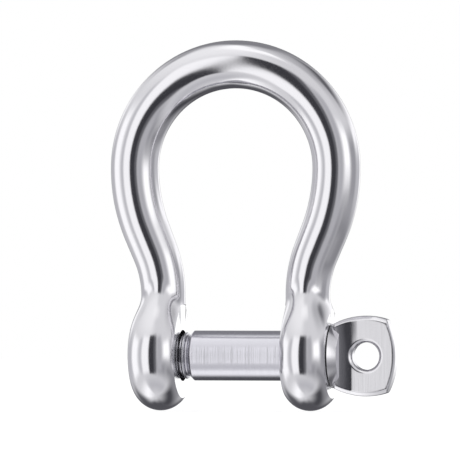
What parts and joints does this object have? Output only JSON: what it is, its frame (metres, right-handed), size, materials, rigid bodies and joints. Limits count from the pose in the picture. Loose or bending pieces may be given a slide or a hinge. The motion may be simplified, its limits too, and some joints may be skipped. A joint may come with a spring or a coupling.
{
  "type": "bow shackle",
  "caption": "Forged stainless bow shackle: a round-rod bow with rounded eyes, closed by a threaded screw pin that ends in a flat finger tab with a hole.",
  "frame": {"origin": "on the pin's axis, midway between the two eyes", "axes": "+X along the pin towards its tab, +Z from the pin to the crown of the bow, Y through the bow's thickness"},
  "size_m": [0.0467, 0.0176, 0.0593],
  "materials": {
    "bow_steel": "forged, then polished almost to a mirror",
    "pin_steel": "turned shank and thread, satin polished tab",
    "ring_steel": "bright drawn wire"
  },
  "bodies": {
    "bow": {"bow": "bow_steel"},
    "ring_carriage": {"retaining_ring": "ring_steel"},
    "pin": {"screw_pin": "pin_steel"}
  },
  "joints": [
    {"name": "pin_advance", "type": "slide", "parent": "bow", "child": "ring_carriage", "axis": [1, 0, 0], "range_m": [0, 0.0075]},
    {"name": "pin_turn", "type": "hinge", "parent": "ring_carriage", "child": "pin", "pos_m": [0, 0, 0], "axis": [1, 0, 0], "range_deg": [0, 2160]}
  ],
  "couplings": [
    {"joint": "pin_advance", "follows": "pin_turn", "m_per_rad": 0.00019894}
  ]
}
